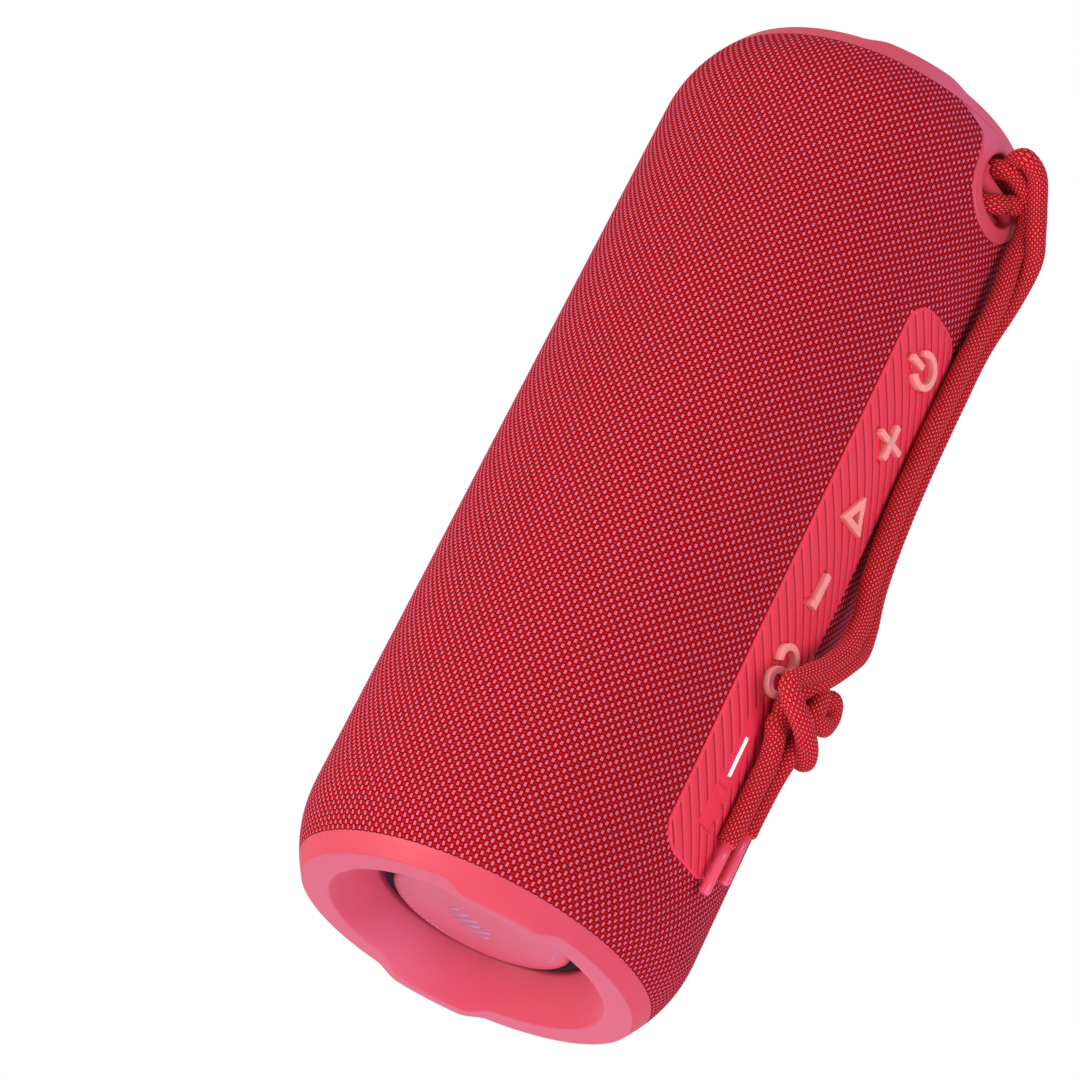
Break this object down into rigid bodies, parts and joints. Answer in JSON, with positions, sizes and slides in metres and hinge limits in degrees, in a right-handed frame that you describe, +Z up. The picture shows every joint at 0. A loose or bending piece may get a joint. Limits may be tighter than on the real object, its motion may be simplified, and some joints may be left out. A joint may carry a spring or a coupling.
{
  "type": "portable party speaker",
  "caption": "Cylindrical fabric-covered portable speaker with ribbed control panel, passive radiators in both ends, side eyelet and knotted cord lanyard.",
  "frame": {"origin": "on the axis of the cylinder, in the plane of the lower foot pads", "axes": "+Z up along the cylinder to the eyelet end, -Y out of the control panel, +Y out of the drivers"},
  "size_m": [0.084, 0.0962, 0.212],
  "materials": {
    "woven_fabric": "coarse two-tone weave",
    "shell_plastic": "moulded, matt",
    "cap_plastic": "moulded, satin",
    "panel_rubber": "moulded, matt, ribbed",
    "icon_rubber": "moulded, satin",
    "light_diffuser": "translucent diffuser",
    "connector_steel": "drawn steel",
    "circuit_board": "solder mask",
    "component_black": "moulded packages",
    "led": "lens",
    "cell_wrap": "shrink wrap",
    "inner_plastic": "moulded, matt",
    "wire_insulation": "extruded",
    "black_rubber": "moulded, matt",
    "plate_plastic": "moulded, satin",
    "plain_steel": "turned or zinc plated",
    "ferrite": "sintered",
    "coil_copper": "enamelled winding",
    "cone_paper": "pressed fibre",
    "braided_cord": "round braid with flecks",
    "aglet_plastic": "moulded tip"
  },
  "bodies": {
    "housing": {"fabric_sleeve": "woven_fabric", "grille_shell": "shell_plastic", "bottom_cap": "cap_plastic", "top_cap": "cap_plastic", "control_panel": "panel_rubber", "light_bar": "light_diffuser", "usb_socket": "connector_steel", "control_board": "circuit_board", "button_switches": "component_black", "status_leds": "led", "bottom_surround": "black_rubber", "bottom_radiator_frame": "inner_plastic", "top_surround": "black_rubber", "top_radiator_frame": "inner_plastic", "cabinet_front": "inner_plastic", "cabinet_back": "inner_plastic", "cabinet_gasket": "black_rubber", "lower_basket": "inner_plastic", "lower_top_plate": "plain_steel", "lower_magnet": "ferrite", "lower_yoke": "plain_steel", "upper_basket": "inner_plastic", "upper_top_plate": "plain_steel", "upper_magnet": "ferrite", "upper_yoke": "plain_steel", "battery_cells": "cell_wrap", "battery_tray": "inner_plastic", "main_board": "circuit_board", "board_parts": "component_black", "wire_harness": "wire_insulation", "radiator_screws": "plain_steel", "driver_screws": "plain_steel", "main_board_screws": "plain_steel", "control_board_screws": "plain_steel", "lanyard_hitch": "braided_cord", "strand_right": "braided_cord", "strand_left": "braided_cord", "lanyard_knot": "braided_cord", "tail_right": "braided_cord", "tail_left": "braided_cord", "aglet_right": "aglet_plastic", "aglet_left": "aglet_plastic"},
    "bottom_radiator": {"bottom_radiator_plate": "plate_plastic", "bottom_radiator_weight": "plain_steel"},
    "top_radiator": {"top_radiator_plate": "plate_plastic", "top_radiator_weight": "plain_steel"},
    "lower_diaphragm": {"lower_voice_coil": "coil_copper", "lower_cone": "cone_paper", "lower_cone_surround": "black_rubber", "lower_dust_cap": "cone_paper"},
    "upper_diaphragm": {"upper_voice_coil": "coil_copper", "upper_cone": "cone_paper", "upper_cone_surround": "black_rubber", "upper_dust_cap": "cone_paper"},
    "port_plug": {"port_plug": "panel_rubber"},
    "power_button": {"power_button": "icon_rubber"},
    "plus_button": {"plus_button": "icon_rubber"},
    "play_button": {"play_button": "icon_rubber"},
    "minus_button": {"minus_button": "icon_rubber"},
    "link_button": {"link_button": "icon_rubber"}
  },
  "joints": [
    {"name": "power_press", "type": "slide", "parent": "housing", "child": "power_button", "axis": [0, 1, 0], "range_m": [0, 0.0006], "stiffness_N_per_m": 800},
    {"name": "plus_press", "type": "slide", "parent": "housing", "child": "plus_button", "axis": [0, 1, 0], "range_m": [0, 0.0006], "stiffness_N_per_m": 800},
    {"name": "play_press", "type": "slide", "parent": "housing", "child": "play_button", "axis": [0, 1, 0], "range_m": [0, 0.0006], "stiffness_N_per_m": 800},
    {"name": "minus_press", "type": "slide", "parent": "housing", "child": "minus_button", "axis": [0, 1, 0], "range_m": [0, 0.0006], "stiffness_N_per_m": 800},
    {"name": "link_press", "type": "slide", "parent": "housing", "child": "link_button", "axis": [0, 1, 0], "range_m": [0, 0.0006], "stiffness_N_per_m": 800},
    {"name": "port_plug_hinge", "type": "hinge", "parent": "housing", "child": "port_plug", "pos_m": [0, -0.0404, 0.03738], "axis": [1, 0, 0], "range_deg": [0, 80]},
    {"name": "bottom_radiator_travel", "type": "slide", "parent": "housing", "child": "bottom_radiator", "axis": [0, 0, 1], "range_m": [-0.0015, 0.0015], "stiffness_N_per_m": 3000, "deforming": ["bottom_surround"]},
    {"name": "top_radiator_travel", "type": "slide", "parent": "housing", "child": "top_radiator", "axis": [0, 0, 1], "range_m": [-0.0015, 0.0015], "stiffness_N_per_m": 3000, "deforming": ["top_surround"]},
    {"name": "lower_driver_travel", "type": "slide", "parent": "housing", "child": "lower_diaphragm", "axis": [0, 1, 0], "range_m": [-0.0015, 0.0015], "stiffness_N_per_m": 2000},
    {"name": "upper_driver_travel", "type": "slide", "parent": "housing", "child": "upper_diaphragm", "axis": [0, 1, 0], "range_m": [-0.0015, 0.0015], "stiffness_N_per_m": 2000}
  ]
}
